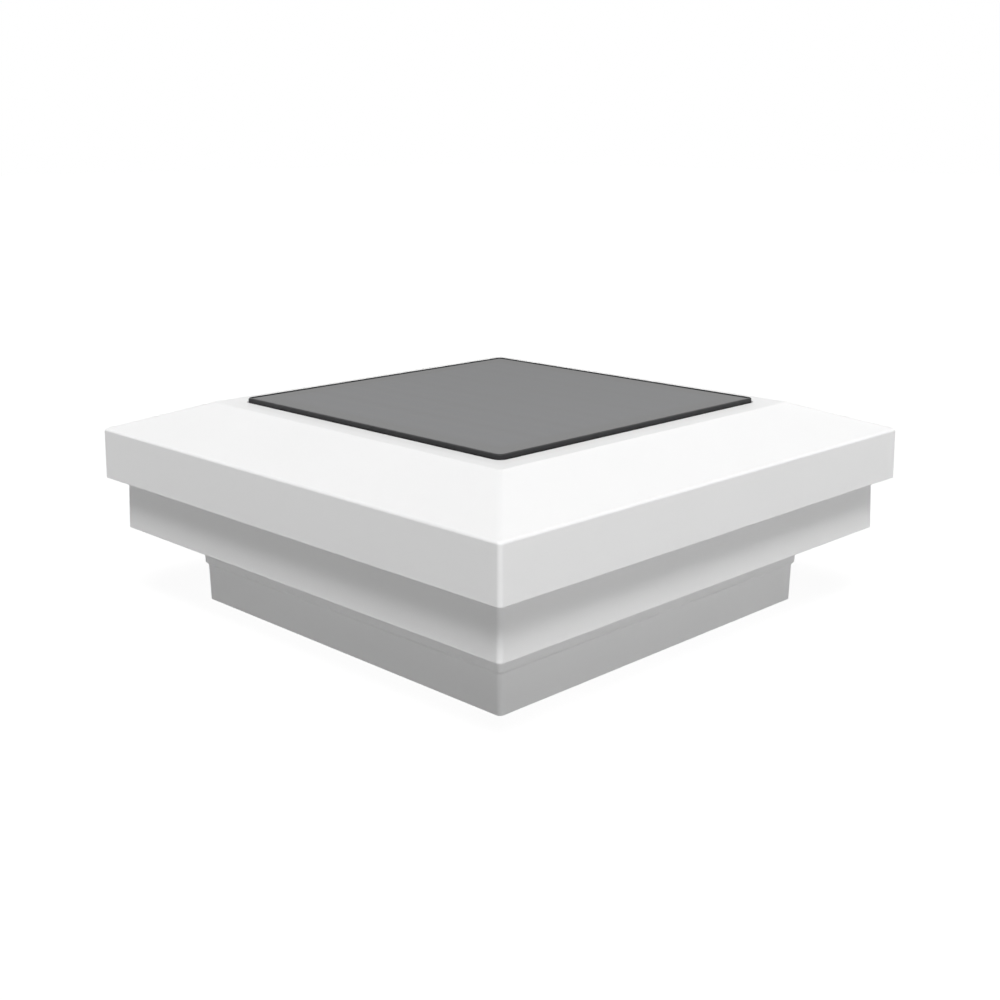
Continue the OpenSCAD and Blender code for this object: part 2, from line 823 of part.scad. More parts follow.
// Two wires round each of three corners, between the collar's corner and the diffuser boss
module strip_jumpers() {
    joint_inset = 3;
    hang = strip_z - 2.2;
    pitch = 3;
    corner_pitch = 1.6;
    corner = (tube_at(deck_z) + strip_c) / 2 - 1.3;
    start = strip_half - joint_inset;
    color(red)
        for (turn = [-90:90:90], side = [-0.5, 0.5]) {
            line = strip_c + side * pitch;
            bend = corner + side * corner_pitch;
            half_route = [
                [start, line, strip_z], [start, line, strip_z - jumper_d],
                [strip_half, line, hang]
            ];
            route = concat(
                half_route,
                [[bend, bend, hang]],
                [for (i = [2:-1:0]) [half_route[i][1], half_route[i][0], half_route[i][2]]]
            );
            rotate([0, 0, turn])
                wire(route, jumper_d);
        }
}

// ---- Base collar ----

module collar_outer() {
    steps = 4;
    loft(concat(
        rounded([collar_at(0), 0], -90, -collar_draft, hem_r, 2),
        [for (i = [0:steps])
            let (z = step_z + step_h * (i / steps - 0.5))
            [collar_at(z) + step_out * (1 - cos(180 * i / steps)) / 2, z]],
        [[tube_at(deck_z), deck_z]]
    ), collar_corner);
}

module centring_ribs() {
    bottom = 3;
    lead_in = 3;
    root = collar_wall / 2;
    at_sides(socket_half)
        for (side = [-1, 1])
            translate([0, side * fit_rib_pitch / 2 + fit_rib_w / 2, 0])
                rotate([90, 0, 0])
                    linear_extrude(fit_rib_w)
                        polygon([
                            [root, bottom], [0, bottom], [-fit_rib_h, bottom + lead_in],
                            [-fit_rib_h, stop_z], [root, stop_z]
                        ]);
}

// The door's outline with its two screw ears, grown by a margin
module door_plan(margin) {
    round_plan(door_l + 2 * margin, door_w + 2 * margin, door_corner + margin);
    for (side = [-1, 1]) {
        translate([side * ear_x, 0])
            circle(ear_r + margin);
        translate([side * ear_x / 2, 0])
            square([ear_x, 2 * (ear_r + margin)], center = true);
    }
}

module bay_solids() {
    translate([0, 0, stop_z])
        linear_extrude(bay_seat_z + bay_seat_t - stop_z)
            door_plan(door_gap + foot_wall);
    slab(bay_l + 2 * bay_wall, bay_w + 2 * bay_wall, bay_wall, bay_seat_z,
        bay_roof - bay_seat_z);
    for (side = [-1, 1])
        translate([side * ear_x, 0, bay_seat_z])
            cylinder(h = door_boss_h, r = door_boss_r);
}

module bay_cuts() {
    slot_room = 0.1;
    translate([0, 0, stop_z - over])
        linear_extrude(bay_seat_z - stop_z + over)
            door_plan(door_gap);
    block(bay_l, bay_w, stop_z - over, bay_top - stop_z + over);
    for (side = [-1, 1]) {
        translate([side * (bay_l - contact_t) / 2, 0, 0])
            block(contact_t + 2 * slot_room, contact_w + 2 * slot_room, bay_top - over,
                bay_wall + 2 * over);
        translate([side * ear_x, 0, stop_z + door_sink])
            cylinder(h = door_screw_l + tip_room, r = small_pilot_r);
    }
}

module board_place() {
    translate([0, board_offset, 0])
        children();
}

module bay_place() {
    translate([0, -bay_offset, 0])
        children();
}

module at_board_screws() {
    board_place()
        at_corners(board_l / 2 - screw_inset, board_w / 2 - screw_inset)
            children();
}

module base_collar() {
    color(white)
        difference() {
            union() {
                difference() {
                    collar_outer();
                    slab(2 * socket_half, 2 * socket_half, socket_corner, -over, stop_z + over);
                    slab(2 * tube_in, 2 * tube_in, socket_corner, plate_top,
                        deck_z - plate_top + over);
                }
                centring_ribs();
                at_sides(base_screw_at)
                    translate([0, 0, stop_z])
                        cylinder(h = pad_top - stop_z, r = boss_r + boss_wall / 2);
                bay_place()
                    bay_solids();
                at_board_screws()
                    translate([0, 0, stop_z])
                        cylinder(h = board_z - stop_z, r = standoff_r);
            }
            bay_place()
                bay_cuts();
            at_sides(base_screw_at) {
                translate([0, 0, stop_z - over])
                    cylinder(h = base_sink + over, d = screw_head_d + 2 * head_gap);
                translate([0, 0, stop_z])
                    cylinder(h = pad_top - stop_z + over, r = passage_r);
            }
            at_board_screws()
                translate([0, 0, board_top - board_screw_l])
                    cylinder(h = board_screw_l + tip_room, r = small_pilot_r);
            board_place()
                translate([switch_x, 0, 0]) {
                    slab(thumb_l + switch_travel + 4 * slide_gap, thumb_w + 4 * slide_gap,
                        1, stop_z - over, window_depth + over);
                    block(slot_l, slot_w, stop_z - over, plate_t + 2 * over);
                }
        }
}

module base_screws() {
    color(steel)
        at_sides(base_screw_at)
            translate([0, 0, stop_z + base_sink])
                screw(base_screw_l, screw_d, screw_head_d, screw_head_h);
}

// ---- Battery ----

module along_bay(x) {
    bay_place()
        translate([x, 0, cell_axis_z])
            rotate([0, 90, 0])
                children();
}

module battery_cell() {
    can_l = cell_l - button_l;
    color(steel)
        along_bay(cell_back) {
            cylinder(h = can_l, d = cell_d - 2 * sleeve_t - 2 * thread_gap);
            cylinder(h = cell_l, r = button_r);
        }
}

module battery_sleeve() {
    can_l = cell_l - button_l;
    color([0.15, 0.35, 0.6])
        along_bay(cell_back)
            difference() {
                cylinder(h = can_l, d = cell_d);
                translate([0, 0, -over])
                    cylinder(h = can_l + 2 * over, d = cell_d - 2 * sleeve_t);
            }
}

// A plate against the bay's end wall, with a tab up through the bay's roof
module contact_plate(side) {
    bottom = bay_seat_z + bay_seat_t;
    bay_place()
        translate([side * (bay_l - contact_t) / 2, 0, 0])
            block(contact_t, contact_w, bottom, tab_z - bottom);
}

module positive_contact() {
    color(tin)
        contact_plate(1);
}

module negative_contact() {
    color(tin)
        contact_plate(-1);
}

// A conical coil, wide at the plate and narrow at the cell
module negative_spring() {
    turn_steps = 14;
    wide = contact_w - 2.8;
    narrow = wide - 2.7;
    run = spring_l - spring_wire - 2 * thread_gap;
    count = round(turn_steps * spring_turns);
    coil = [for (i = [0:count])
        let (t = i / count, a = 360 * spring_turns * t, r = (wide + (narrow - wide) * t) / 2)
        [r * cos(a), r * sin(a), spring_wire / 2 + thread_gap + run * t]];
    gap = run / spring_turns - spring_wire;
    echo(spring_gap = gap);
    color(steel)
        along_bay(spring_x)
            tube(coil, spring_wire, lead_sides, [1, 0, 0], coil[1] - coil[0],
                coil[count] - coil[count - 1]);
}

module battery_door() {
    rib_l = 2;
    rib_w = bay_w - 4 * cell_gap;
    rib_pitch = 22;
    rib_top = cell_axis_z - cell_d / 4;
    color(white)
        bay_place()
            difference() {
                union() {
                    translate([0, 0, stop_z])
                        linear_extrude(door_t)
                            door_plan(0);
                    for (side = [-1, 1])
                        translate([side * ear_x, 0, stop_z])
                            cylinder(h = ear_t, r = ear_r);
                    difference() {
                        for (i = [-1:1])
                            translate([i * rib_pitch, 0, 0])
                                block(rib_l, rib_w, stop_z + door_t / 2,
                                    rib_top - stop_z - door_t / 2);
                        translate([-bay_l / 2, 0, cell_axis_z])
                            rotate([0, 90, 0])
                                cylinder(h = bay_l, d = cell_d + 2 * door_gap);
                    }
                }
                for (side = [-1, 1])
                    translate([side * ear_x, 0, 0]) {
                        translate([0, 0, stop_z - over])
                            cylinder(h = door_sink + over, d = small_head_d + 2 * head_gap);
                        translate([0, 0, stop_z])
                            cylinder(h = ear_t + over, r = small_passage_r);
                    }
            }
}

module door_gasket() {
    margin = 0.6;
    inner_margin = 1;
    color(black)
        bay_place()
            translate([0, 0, door_top])
                linear_extrude(door_gasket_t)
                    difference() {
                        round_plan(door_l - 2 * margin, door_w - 2 * margin, door_corner);
                        round_plan(bay_l + 2 * inner_margin, bay_w + 2 * inner_margin,
                            inner_margin);
                    }
}

module door_screws() {
    color(steel)
        bay_place()
            for (side = [-1, 1])
                translate([side * ear_x, 0, stop_z + door_sink])
                    screw(door_screw_l, small_screw_d, small_head_d, small_head_h);
}

// ---- Control board ----

module control_board() {
    color(board_green)
        difference() {
            board_place()
                slab(board_l, board_w, 1.5, board_z, board_t);
            at_board_screws()
                translate([0, 0, board_z - over])
                    cylinder(h = board_t + 2 * over, r = small_passage_r);
            at_switch_pins()
                translate([0, 0, board_z - over])
                    cylinder(h = board_t + 2 * over, d = pin_d + 2 * thread_gap);
        }
}

module board_screws() {
    color(steel)
        at_board_screws()
            translate([0, 0, board_top])
                rotate([180, 0, 0])
                    screw(board_screw_l, small_screw_d, small_head_d, small_head_h);
}

module on_board(at) {
    board_place()
        translate([at[0], at[1], board_top])
            children();
}

module charge_chip() {
    chip = [5, 4, 1.5];
    leg = [0.4, 1.2, 0.3];
    leg_pitch = 1.27;
    color(black)
        on_board(chip_at) {
            block(chip[0], chip[1], leg[2] / 2, chip[2]);
            for (side = [-1, 1], i = [-1.5:1.5])
                translate([i * leg_pitch, side * (chip[1] + leg[1]) / 2, 0])
                    block(leg[0], leg[1] + leg[2], 0, leg[2]);
        }
}

module power_inductor() {
    r = 4;
    core_r = 2.6;
    height = 5;
    flange = 1;
    color(copper)
        on_board(inductor_at)
            rotate_extrude()
                polygon([
                    [0, 0], [r, 0], [r, flange], [core_r, flange],
                    [core_r, height - flange], [r, height - flange], [r, height], [0, height]
                ]);
}

module power_capacitor() {
    height = 8;
    groove = 0.4;
    color([0.1, 0.12, 0.3])
        on_board(capacitor_at)
            rotate_extrude()
                polygon([
                    [0, 0], [capacitor_r, 0], [capacitor_r, 1], [capacitor_r - groove, 1.5],
                    [capacitor_r, 2], [capacitor_r, height], [0, height]
                ]);
}

module board_resistors() {
    size = [3.2, 1.6, 0.6];
    pitch = 5;
    count = 5;
    color(black)
        for (i = [0:count - 1])
            on_board([(i - (count - 1) / 2) * pitch - 3, resistor_y])
                block(size[0], size[1], 0, size[2]);
}

module board_headers() {
    color([0.92, 0.9, 0.82])
        for (i = [-1:1])
            on_board([i * header_pitch, header_y])
                difference() {
                    block(header_l, header_w, 0, header_h);
                    block(header_l - 2 * header_t, header_w - 2 * header_t, header_t,
                        header_h);
                }
}

module lead_plugs() {
    plug_l = header_l - 2 * header_t - 2 * plug_gap;
    plug_w = header_w - 2 * header_t - 2 * plug_gap;
    color([0.92, 0.9, 0.82])
        for (i = [-1:1])
            on_board([i * header_pitch, header_y])
                block(plug_l, plug_w, header_t, plug_h - header_t);
}

// Where a lead leaves plug i, on its left or right side
function plug_exit(i, side) =
    [i * header_pitch + side * wire_pitch / 2, board_offset + header_y, plug_top];

// Where a lead meets a panel terminal
function terminal_end(side) =
    [terminal_at[0] + side * terminal_pitch / 2, terminal_at[1], terminal_z];

// A point part of the way from a to b in plan, at a height of its own
function part_way(a, b, share, z) = [a[0] + (b[0] - a[0]) * share, a[1] + (b[1] - a[1]) * share, z];

module panel_lead(side) {
    a = plug_exit(-1, side);
    b = terminal_end(side);
    wire([a, a + stub, part_way(a, b, 0.1, a[2] + 2.5 * stub[2]),
        part_way(a, b, 0.6, b[2] - 2 * stub[2]), b - stub, b], lead_d);
}

module panel_lead_positive() {
    color(red)
        panel_lead(1);
}

module panel_lead_negative() {
    color(black)
        panel_lead(-1);
}

module led_lead(side) {
    a = plug_exit(0, side);
    b = [side * wire_pitch / 2, strip_c, deck_z];
    ridge = max(plug_top, housing_top + deck_lip_h) + 1.4 * stub[2];
    wire([a, a + stub, part_way(a, b, 0.13, ridge + stub[2] / 3), part_way(a, b, 0.44, ridge),
        part_way(a, b, 0.78, ridge - stub[2] / 3), part_way(a, b, 0.98, housing_top + stub[2]),
        [b[0], b[1], housing_top], b], lead_d);
}

module led_lead_positive() {
    color(red)
        led_lead(1);
}

module led_lead_negative() {
    color(black)
        led_lead(-1);
}

// From the plug over the bay to the tab of a contact plate, which it meets square
module battery_lead(side) {
    a = plug_exit(1, side);
    height = bay_roof + 0.6 * tab_h;
    b = [side * cell_front, -bay_offset, height];
    bend = [b[0] - side * 2 * stub[2], b[1] + stub[2], height + stub[2] / 3];
    wire([a, a + stub, part_way(a, bend, 0.1, height - stub[2] / 3),
        part_way(a, bend, 0.5, height + stub[2] / 3), bend, b - [side * stub[2], 0, 0], b],
        lead_d);
}

module battery_lead_positive() {
    color(red)
        battery_lead(1);
}

module battery_lead_negative() {
    color(black)
        battery_lead(-1);
}

// ---- Switch ----

module switch_place() {
    translate([switch_x, board_offset, 0])
        children();
}

module switch_body() {
    color(steel)
        switch_place()
            difference() {
                block(case_in_l + 2 * case_t, case_in_w + 2 * case_t, switch_z, switch_h);
                block(case_in_l, case_in_w, switch_z + case_t, switch_h - 2 * case_t);
                block(slot_l, slot_w, switch_z - over, case_t + 2 * over);
            }
}

module at_switch_pins() {
    switch_place()
        for (i = [-1:1])
            translate([i * pin_pitch, 0, 0])
                children();
}

module switch_pins() {
    pin_end = 0.8;
    color(tin)
        at_switch_pins()
            translate([0, 0, board_z])
                cylinder(h = board_t + pin_end, d = pin_d);
}

// At rest the slider stands at the off end of its travel
module switch_slider() {
    grip = [0.7, 0.4];
    color(black)
        switch_place()
            translate([-switch_travel / 2, 0, 0]) {
                difference() {
                    slab(thumb_l, thumb_w, 0.8, thumb_z, thumb_t);
                    for (i = [-1:1])
                        translate([i * 2 * grip[0], 0, 0])
                            block(grip[0], thumb_w + over, thumb_z - over, grip[1] + over);
                }
                block(stem_l, stem_w, thumb_z + thumb_t / 2,
                    slider_foot_z - thumb_z - thumb_t / 2 + foot_t / 2);
                block(foot_l, foot_w, slider_foot_z, foot_t);
            }
}

top_cap();
panel_window();
window_gasket();
panel_encapsulant();
solar_cells();
cell_ribbons();
panel_backing();
panel_terminals();
cap_seal();
cap_screws();
light_housing();
diffuser();
diffuser_screws();
led_strip_front();
led_strip_right();
led_strip_back();
led_strip_left();
led_chips();
strip_jumpers();
base_collar();
base_screws();
battery_cell();
battery_sleeve();
positive_contact();
negative_contact();
negative_spring();
control_board();
board_screws();
charge_chip();
power_inductor();
power_capacitor();
board_resistors();
board_headers();
lead_plugs();
panel_lead_positive();
panel_lead_negative();
led_lead_positive();
led_lead_negative();
battery_lead_positive();
battery_lead_negative();
switch_body();
switch_pins();
switch_slider();
battery_door();
door_gasket();
door_screws();
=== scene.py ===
"""The looks of a deck post cap light: white moulded tiers round a dark solar window, on a white floor."""

import json
import math

import bmesh
import bpy
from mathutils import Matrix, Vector


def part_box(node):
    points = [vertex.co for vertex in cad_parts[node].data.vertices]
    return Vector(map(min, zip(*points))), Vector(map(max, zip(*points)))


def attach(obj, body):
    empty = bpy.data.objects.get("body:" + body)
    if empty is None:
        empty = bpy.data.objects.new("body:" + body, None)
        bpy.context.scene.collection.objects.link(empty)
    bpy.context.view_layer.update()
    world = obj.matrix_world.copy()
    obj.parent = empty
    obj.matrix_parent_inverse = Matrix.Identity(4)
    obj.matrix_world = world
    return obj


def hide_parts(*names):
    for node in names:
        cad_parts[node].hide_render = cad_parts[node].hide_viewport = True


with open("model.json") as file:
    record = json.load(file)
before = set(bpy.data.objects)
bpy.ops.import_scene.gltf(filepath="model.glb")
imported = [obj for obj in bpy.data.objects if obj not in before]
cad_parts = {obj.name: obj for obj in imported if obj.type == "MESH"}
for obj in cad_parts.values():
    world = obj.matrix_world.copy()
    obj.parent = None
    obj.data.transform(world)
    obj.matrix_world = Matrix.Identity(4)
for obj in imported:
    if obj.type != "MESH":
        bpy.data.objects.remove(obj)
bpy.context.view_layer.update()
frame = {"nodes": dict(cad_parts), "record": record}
nodes = frame["nodes"]
scene = bpy.context.scene

MM = 0.001

# ---- Camera ----

# As fitted to the photograph: the front corner faces the camera, 15 degrees below it
CAMERA_LENS = 50.0
CAMERA_SENSOR = 36.0
CAMERA_PITCH = math.radians(15.0)
CAMERA_DISTANCE = 429.8 * MM          # in plan, from the part's upright axis
CAMERA_HEIGHT = 148.42 * MM
CAMERA_NEAR = 0.01
CAMERA_FAR = 50.0


def make_camera():
    data = bpy.data.cameras.new("camera")
    data.lens = CAMERA_LENS
    data.sensor_width = CAMERA_SENSOR
    data.clip_start = CAMERA_NEAR
    data.clip_end = CAMERA_FAR
    camera = bpy.data.objects.new("camera", data)
    scene.collection.objects.link(camera)
    outwards = Vector((1, -1, 0)).normalized()
    camera.location = outwards * CAMERA_DISTANCE
    camera.location.z = CAMERA_HEIGHT
    look = -outwards * math.cos(CAMERA_PITCH)
    look.z = -math.sin(CAMERA_PITCH)
    camera.rotation_mode = "QUATERNION"
    camera.rotation_quaternion = look.to_track_quat("-Z", "Y")
    scene.camera = camera


# ---- Node trees ----

class Tree:
    """Short calls for building a node tree."""

    def __init__(self, tree):
        self.nodes = tree.nodes
        self.links = tree.links

    def node(self, kind, settings=None, **inputs):
        """A node with its settings, and inputs by name that are numbers, colours or other nodes' outputs."""
        made = self.nodes.new(kind)
        for name, value in (settings or {}).items():
            setattr(made, name, value)
        for name, value in inputs.items():
            self.feed(made.inputs[int(name[1:]) if name[0] == "_" else name], value)
        return made

    def feed(self, socket, value):
        if isinstance(value, bpy.types.NodeSocket):
            self.links.new(value, socket)
        else:
            socket.default_value = value

    def math(self, operation, a, b=0.0):
        return self.node("ShaderNodeMath", {"operation": operation}, _0=a, _1=b).outputs[0]


class Finish(Tree):
    """A material on one Principled shader, textured in the part's own metres."""

    def __init__(self, name, colour, roughness, **sockets):
        self.material = bpy.data.materials.new(name)
        self.material.use_nodes = True
        super().__init__(self.material.node_tree)
        self.shader = self.nodes["Principled BSDF"]
        self.colour = colour
        self.shader.inputs["Base Color"].default_value = (*colour, 1)
        self.shader.inputs["Roughness"].default_value = roughness
        for name, value in sockets.items():
            self.shader.inputs[name.replace("_", " ")].default_value = value
        self.place = self.node("ShaderNodeTexCoord").outputs["Object"]

    def noise(self, size, detail=3.0, stretch=(1, 1, 1)):
        """Noise whose features are about size metres across."""
        at = self.node("ShaderNodeMapping", Vector=self.place, Scale=stretch).outputs[0]
        return self.node("ShaderNodeTexNoise", Vector=at, Scale=1 / size, Detail=detail).outputs["Fac"]

    def between(self, share, low, high):
        """Numbers from low to high as share goes from 0.3 to 0.7, where noise mostly lies."""
        return self.node("ShaderNodeMapRange", Value=share, _1=0.3, _2=0.7, _3=low, _4=high).outputs[0]

    def mix(self, share, first, second):
        """Colours from first to second as share goes from 0 to 1."""
        made = self.node("ShaderNodeMix", {"data_type": "RGBA"}, _0=share)
        # The node's colour sockets come after those for numbers and vectors
        self.feed(made.inputs[6], (*first, 1) if isinstance(first, tuple) else first)
        self.feed(made.inputs[7], (*second, 1) if isinstance(second, tuple) else second)
        return made.outputs[2]

    def paint(self, colour):
        self.feed(self.shader.inputs["Base Color"], colour)

    def mottle(self, size, spread):
        """Lets the colour drift by a share of itself."""
        dark = tuple(c * (1 - spread) for c in self.colour)
        light = tuple(min(1, c * (1 + spread)) for c in self.colour)
        self.paint(self.mix(self.between(self.noise(size), 0, 1), dark, light))
        return self

    def sheen_drift(self, size, low, high):
        """Lets the roughness drift between two values."""
        self.feed(self.shader.inputs["Roughness"], self.between(self.noise(size), low, high))
        return self

    def relief(self, height, depth):
        """Adds bumps of a depth in metres on top of those already there."""
        before = self.shader.inputs["Normal"]
        bump = self.node("ShaderNodeBump", Height=height, Distance=depth, Strength=1.0)
        if before.is_linked:
            self.links.new(before.links[0].from_socket, bump.inputs["Normal"])
        self.links.new(bump.outputs[0], before)
        return self

    def grain(self, size, depth, stretch=(1, 1, 1)):
        """Adds noise as bumps."""
        return self.relief(self.noise(size, 4.0, stretch), depth)

    def axes(self, vector):
        """The x, y and z of a vector."""
        return self.node("ShaderNodeSeparateXYZ", Vector=vector).outputs

    def stripes(self, along, pitch, offset, width):
        """1 on stripes of a width, a pitch apart, one of them at the offset."""
        turns = self.math("ADD", self.math("DIVIDE", along, pitch), 0.5 - offset / pitch)
        off = self.math("ABSOLUTE", self.math("SUBTRACT", self.math("FRACT", turns), 0.5))
        return self.math("LESS_THAN", off, width / pitch / 2)


# ---- Materials ----

# The cells as the CAD lays them out, with two ribbons to a row
CELL_COLUMNS = 2
CELL_ROWS = 6
CELL_SPACE = 1.2 * MM
RIBBON_WIDTH = 1.6 * MM

# The tones in which the pane shows them, as dark as through smoked glass
CELL_TONE = (0.019, 0.021, 0.027)
CELL_SHEEN = (0.022, 0.025, 0.032)
RIBBON_TONE = (0.032, 0.033, 0.036)
BACKING_TONE = (0.013, 0.013, 0.014)

# The cells themselves, under the pane
FINGER_PITCH = 2.2 * MM
FINGER_SHARE = 0.08
FINGER_TONE = (0.3, 0.31, 0.33)

CHIP_CREAM = (0.88, 0.86, 0.78)
CHIP_RIM = 0.1 * MM                   # how far above the chips' underside the phosphor may begin
WIRE_TURN = 0.4 * MM


def white_moulding():
    """Satin white plastic with a fine moulded grain."""
    made = Finish("white_moulding", (0.9, 0.9, 0.9), 0.42, Specular_IOR_Level=0.3)
    made.mottle(30 * MM, 0.006).sheen_drift(12 * MM, 0.38, 0.46)
    return made.grain(6 * MM, 0.02 * MM).grain(0.5 * MM, 0.006 * MM)


def window_slab():
    """Opaque dark gloss that stands for smoked glass, with the cells under it painted on as faint tones."""
    made = Finish("window_slab", CELL_TONE, 0.05, IOR=1.5)
    x, y, _ = made.axes(made.place)
    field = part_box("solar_cells")[1]
    column = (2 * field.x + CELL_SPACE) / CELL_COLUMNS
    row = (2 * field.y + CELL_SPACE) / CELL_ROWS
    column_gaps = made.stripes(x, column, 0, CELL_SPACE)
    row_gaps = made.stripes(y, row, 0, CELL_SPACE)
    ribbons = made.stripes(y, row / 2, row / 4, RIBBON_WIDTH)
    past_x = made.math("GREATER_THAN", made.math("ABSOLUTE", x), field.x)
    past_y = made.math("GREATER_THAN", made.math("ABSOLUTE", y), field.y)
    tone = made.mix(made.between(made.noise(8 * MM), 0, 1), CELL_TONE, CELL_SHEEN)
    tone = made.mix(made.math("MAXIMUM", column_gaps, row_gaps), tone, BACKING_TONE)
    tone = made.mix(ribbons, tone, RIBBON_TONE)
    made.paint(made.mix(made.math("MAXIMUM", past_x, past_y), tone, BACKING_TONE))
    return made.sheen_drift(25 * MM, 0.04, 0.07).grain(25 * MM, 0.01 * MM)


def black_rubber():
    made = Finish("black_rubber", (0.02, 0.02, 0.021), 0.7)
    return made.mottle(3 * MM, 0.2).sheen_drift(4 * MM, 0.62, 0.8).grain(0.3 * MM, 0.01 * MM)


def clear_sheet():
    made = Finish("clear_sheet", (0.9, 0.93, 0.95), 0.15, Transmission_Weight=0.9, IOR=1.48)
    return made.mottle(8 * MM, 0.03).sheen_drift(6 * MM, 0.1, 0.2).grain(4 * MM, 0.01 * MM)


def solar_cell():
    """Blue-black crystals of many tones, with printed fingers across them."""
    made = Finish("solar_cell", (0.012, 0.022, 0.06), 0.3, Coat_Weight=0.6, Coat_Roughness=0.1)
    crystals = made.node("ShaderNodeTexVoronoi", Vector=made.place, Scale=1 / (5 * MM))
    tone = made.node("ShaderNodeSeparateColor", Color=crystals.outputs["Color"]).outputs[0]
    blue = made.mix(tone, (0.008, 0.016, 0.045), (0.02, 0.035, 0.09))
    turns = made.math("DIVIDE", made.axes(made.place)[0], FINGER_PITCH)
    finger = made.math("LESS_THAN", made.math("FRACT", turns), FINGER_SHARE)
    made.paint(made.mix(finger, blue, FINGER_TONE))
    return made.sheen_drift(5 * MM, 0.22, 0.38)


def metal(name, colour, roughness, brush=(1, 1, 1), grain=0.25):
    made = Finish(name, colour, roughness, Metallic=1.0)
    made.mottle(4 * MM, 0.08).sheen_drift(1.5 * MM, roughness - 0.08, roughness + 0.1)
    return made.grain(grain * MM, 0.004 * MM, brush)


def black_board():
    made = Finish("black_board", (0.015, 0.015, 0.017), 0.5)
    weave = made.node("ShaderNodeTexChecker", Vector=made.place, Scale=1 / (0.8 * MM)).outputs["Fac"]
    return made.mottle(10 * MM, 0.15).sheen_drift(5 * MM, 0.42, 0.58).relief(weave, 0.008 * MM)


def frosted_lens():
    """Milky plastic that lets light through and blurs it."""
    made = Finish("frosted_lens", (0.86, 0.88, 0.89), 0.55, Transmission_Weight=0.55, IOR=1.49)
    return made.mottle(15 * MM, 0.015).sheen_drift(6 * MM, 0.5, 0.62).grain(0.4 * MM, 0.012 * MM)


def white_board():
    """White lacquered strip with the tracks standing up a little."""
    made = Finish("white_board", (0.82, 0.82, 0.8), 0.38)
    tracks = made.node("ShaderNodeTexBrick", {"offset": 0.5}, Vector=made.place, Scale=1 / (9 * MM))
    made.mottle(4 * MM, 0.03).sheen_drift(3 * MM, 0.32, 0.45)
    return made.relief(tracks.outputs["Fac"], 0.03 * MM).grain(0.6 * MM, 0.004 * MM)


def lamp_chip():
    """Cream lamp bodies with yellow phosphor in the recess, which lies above the rest of the underside."""
    made = Finish("lamp_chip", CHIP_CREAM, 0.4)
    above_rim = made.math("GREATER_THAN", made.axes(made.place)[2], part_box("led_chips")[0].z + CHIP_RIM)
    facing = made.node("ShaderNodeNewGeometry").outputs["Normal"]
    facing_down = made.math("LESS_THAN", made.axes(facing)[2], -0.5)
    phosphor = made.math("MULTIPLY", above_rim, facing_down)
    speckle = made.mix(made.noise(0.15 * MM), (0.75, 0.5, 0.03), (0.9, 0.68, 0.1))
    made.paint(made.mix(phosphor, CHIP_CREAM, speckle))
    return made.sheen_drift(1 * MM, 0.32, 0.5)


def plastic(name, colour, roughness, spread=0.06, **sockets):
    made = Finish(name, colour, roughness, **sockets)
    made.mottle(5 * MM, spread).sheen_drift(3 * MM, roughness - 0.06, roughness + 0.08)
    return made.grain(0.4 * MM, 0.006 * MM)


def green_board():
    """Green lacquer over copper tracks."""
    made = Finish("green_board", (0.01, 0.11, 0.045), 0.35, Coat_Weight=0.5, Coat_Roughness=0.2)
    tracks = made.node("ShaderNodeTexBrick", {"offset": 0.37}, Vector=made.place, Scale=1 / (6 * MM))
    for name, value in (("Mortar Size", 0.06), ("Brick Width", 0.8), ("Row Height", 0.3)):
        tracks.inputs[name].default_value = value
    made.paint(made.mix(tracks.outputs["Fac"], (0.008, 0.1, 0.04), (0.02, 0.2, 0.07)))
    return made.sheen_drift(3 * MM, 0.28, 0.42).relief(tracks.outputs["Fac"], 0.03 * MM)


def wound_copper():
    """Enamelled wire wound round the choke's core."""
    made = Finish("wound_copper", (0.62, 0.27, 0.11), 0.32, Metallic=0.9, Coat_Weight=0.4)
    turns = made.math("SINE", made.math("MULTIPLY", made.axes(made.place)[2], 2 * math.pi / WIRE_TURN))
    return made.mottle(1 * MM, 0.12).sheen_drift(1 * MM, 0.26, 0.4).relief(turns, 0.08 * MM)


FINISHES = {
    "white_moulding": white_moulding,
    "window_slab": window_slab,
    "black_rubber": black_rubber,
    "clear_sheet": clear_sheet,
    "solar_cell": solar_cell,
    "tinned_metal": lambda: metal("tinned_metal", (0.72, 0.73, 0.74), 0.3),
    "black_board": black_board,
    "screw_steel": lambda: metal("screw_steel", (0.6, 0.6, 0.61), 0.28, (1, 1, 0.2)),
    "frosted_lens": frosted_lens,
    "white_board": white_board,
    "lamp_chip": lamp_chip,
    "cell_can": lambda: metal("cell_can", (0.7, 0.7, 0.69), 0.25, (0.1, 1, 1)),
    "cell_sleeve": lambda: plastic("cell_sleeve", (0.05, 0.17, 0.4), 0.35),
    "spring_steel": lambda: metal("spring_steel", (0.66, 0.66, 0.65), 0.22),
    "switch_steel": lambda: metal("switch_steel", (0.63, 0.64, 0.66), 0.35, (1, 0.15, 1)),
    "green_board": green_board,
    "black_plastic": lambda: plastic("black_plastic", (0.014, 0.014, 0.015), 0.45, 0.15,
                                     Specular_IOR_Level=0.35),
    "wound_copper": wound_copper,
    "cream_plastic": lambda: plastic("cream_plastic", (0.8, 0.76, 0.66), 0.42),
    "red_lead": lambda: plastic("red_lead", (0.5, 0.02, 0.015), 0.4, 0.1),
    "black_lead": lambda: plastic("black_lead", (0.015, 0.015, 0.016), 0.42, 0.15),
}


def paint_nodes():
    """Gives every CAD node the finish of its slot in the record, and gives back the materials by slot."""
    made = {}
    for part in frame["record"]["subparts"]:
        slot = part["material_slot"]
        if slot not in made:
            made[slot] = FINISHES[slot]().material
        piece = nodes[part["node"]]
        for place in piece.material_slots:
            place.material = made[slot]
    return made


# ---- Solar window ----

